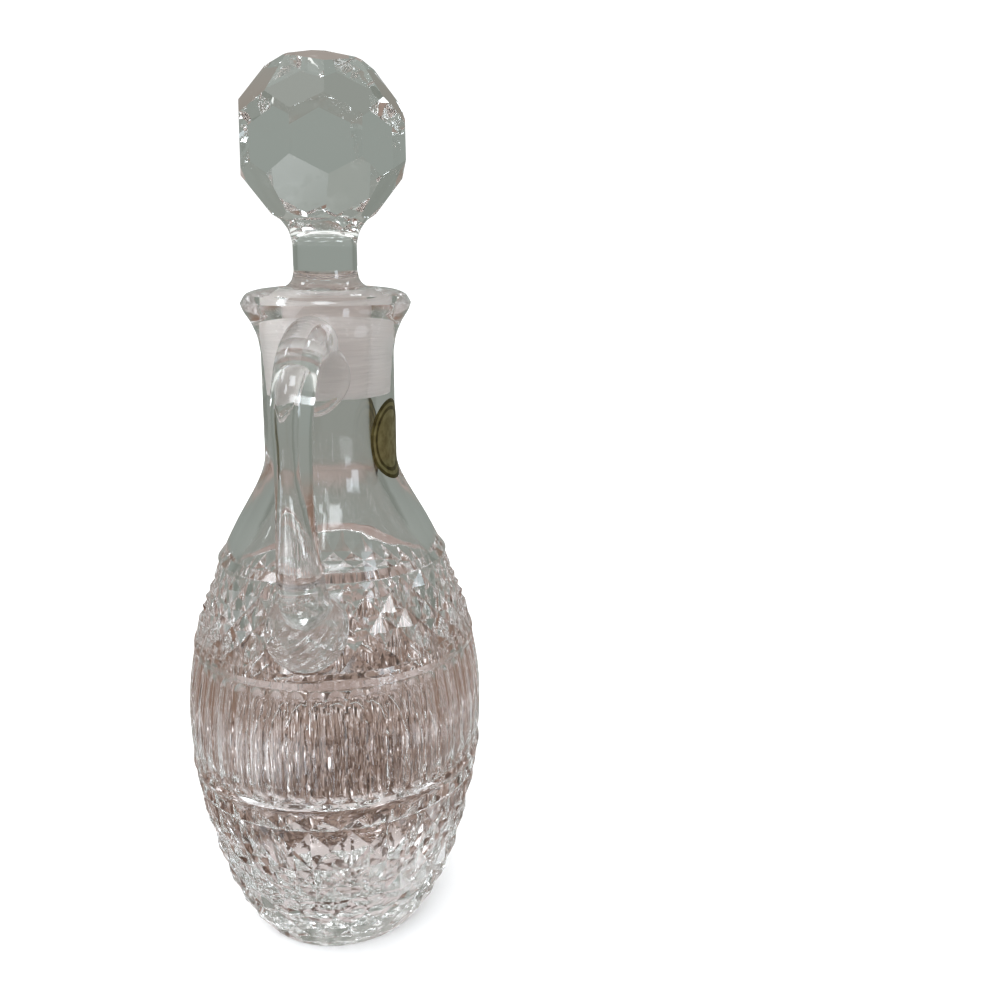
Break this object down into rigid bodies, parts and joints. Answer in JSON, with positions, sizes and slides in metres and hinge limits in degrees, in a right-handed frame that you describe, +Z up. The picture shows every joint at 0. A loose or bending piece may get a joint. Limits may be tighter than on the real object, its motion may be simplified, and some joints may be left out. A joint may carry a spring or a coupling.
{
  "type": "cut crystal decanter",
  "caption": "Handled cut crystal decanter with a solid faceted ball stopper, a ribbed belt between two diamond-cut bands and a ground neck seat.",
  "frame": {"origin": "middle of the flat ground base", "axes": "+Z up along the axis of the bottle and stopper, -Y towards the handle, +X towards the foil label"},
  "size_m": [0.0868, 0.0943, 0.255],
  "materials": {
    "bottle_crystal": "polished lead crystal, ground inside the neck",
    "handle_crystal": "fire polished crystal rod",
    "stopper_crystal": "polished facets, ground plug",
    "gold_foil": "satin gold foil"
  },
  "bodies": {
    "bottle": {"bottle": "bottle_crystal", "handle": "handle_crystal", "handle_upper_seal": "handle_crystal", "handle_lower_seal": "handle_crystal", "foil_label": "gold_foil"},
    "stopper": {"stopper": "stopper_crystal"}
  },
  "joints": [
    {"name": "stopper_lift", "type": "slide", "parent": "bottle", "child": "stopper", "axis": [0, 0, 1], "range_m": [0, 0.04]}
  ]
}
